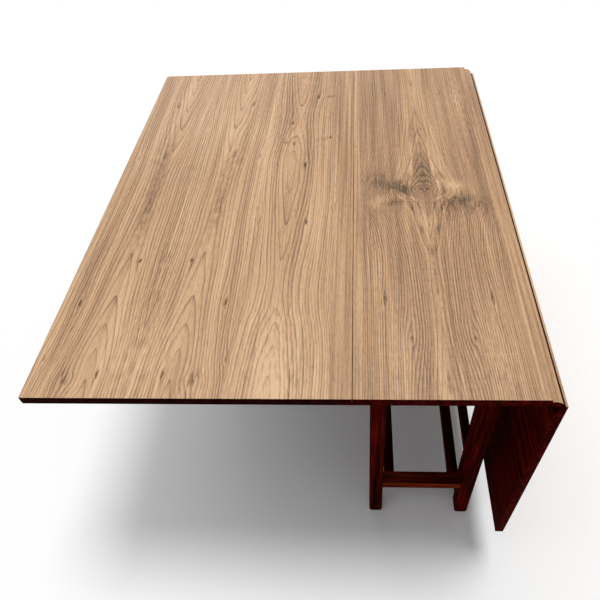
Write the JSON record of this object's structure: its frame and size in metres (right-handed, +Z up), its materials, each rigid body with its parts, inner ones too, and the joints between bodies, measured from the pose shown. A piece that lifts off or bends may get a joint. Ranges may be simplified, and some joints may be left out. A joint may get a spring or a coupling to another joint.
{
  "type": "drop-leaf console table",
  "caption": "Long narrow table with a hinged leaf on each long side: one leaf raised on a swung-out gate leg, the other hanging, on a square-legged frame with low stretchers.",
  "frame": {"origin": "on the floor, under the middle of the base and of the centre board", "axes": "+X towards the hanging leaf, +Y along the table's length away from the pictured end, +Z up"},
  "size_m": [0.9466, 1.15, 0.757],
  "materials": {
    "top_walnut": "satin clear finish on pale walnut, with dark stained ends and underside",
    "stained_base": "dark red-brown mahogany stain under satin varnish",
    "plain_wood": "bare beech",
    "hinge_steel": "plain rolled steel",
    "screw_steel": "plain steel"
  },
  "bodies": {
    "table_frame": {"centre_board": "top_walnut", "near_left_leg": "stained_base", "near_right_leg": "stained_base", "far_left_leg": "stained_base", "far_right_leg": "stained_base", "near_end_rail": "stained_base", "far_end_rail": "stained_base", "near_end_stretcher": "stained_base", "far_end_stretcher": "stained_base", "left_long_rail": "stained_base", "left_long_stretcher": "stained_base", "left_hinge_post": "stained_base", "left_gate_hinge_fixed_plates": "hinge_steel", "left_gate_hinge_pins": "hinge_steel", "left_post_screws": "screw_steel", "left_rule_hinge_flaps": "hinge_steel", "left_rule_hinge_pins": "hinge_steel", "left_flap_screws": "screw_steel", "left_top_buttons": "plain_wood", "left_button_screws": "screw_steel", "right_long_rail": "stained_base", "right_long_stretcher": "stained_base", "right_hinge_post": "stained_base", "right_gate_hinge_fixed_plates": "hinge_steel", "right_gate_hinge_pins": "hinge_steel", "right_post_screws": "screw_steel", "right_rule_hinge_flaps": "hinge_steel", "right_rule_hinge_pins": "hinge_steel", "right_flap_screws": "screw_steel", "right_top_buttons": "plain_wood", "right_button_screws": "screw_steel"},
    "left_leaf": {"left_leaf": "top_walnut", "left_rule_hinge_straps": "hinge_steel", "left_strap_screws": "screw_steel", "left_gate_stop": "stained_base", "left_gate_stop_screws": "screw_steel"},
    "left_gate": {"left_gate_leg": "stained_base", "left_gate_stile": "stained_base", "left_gate_top_rail": "stained_base", "left_gate_bottom_rail": "stained_base", "left_gate_hinge_moving_plates": "hinge_steel", "left_stile_screws": "screw_steel"},
    "right_leaf": {"right_leaf": "top_walnut", "right_rule_hinge_straps": "hinge_steel", "right_strap_screws": "screw_steel", "right_gate_stop": "stained_base", "right_gate_stop_screws": "screw_steel"},
    "right_gate": {"right_gate_leg": "stained_base", "right_gate_stile": "stained_base", "right_gate_top_rail": "stained_base", "right_gate_bottom_rail": "stained_base", "right_gate_hinge_moving_plates": "hinge_steel", "right_stile_screws": "screw_steel"}
  },
  "joints": [
    {"name": "right_leaf_hinge", "type": "hinge", "parent": "table_frame", "child": "right_leaf", "pos_m": [0.171, 0, 0.7325], "axis": [0, -1, 0], "range_deg": [0, 90.8]},
    {"name": "left_leaf_hinge", "type": "hinge", "parent": "table_frame", "child": "left_leaf", "pos_m": [-0.171, 0, 0.7325], "axis": [0, 1, 0], "range_deg": [0, 1]},
    {"name": "left_gate_hinge", "type": "hinge", "parent": "table_frame", "child": "left_gate", "pos_m": [-0.103, -0.04, 0.4], "axis": [0, 0, -1], "range_deg": [0, 90]},
    {"name": "right_gate_hinge", "type": "hinge", "parent": "table_frame", "child": "right_gate", "pos_m": [0.103, 0.04, 0.4], "axis": [0, 0, 1], "range_deg": [0, 4]}
  ]
}
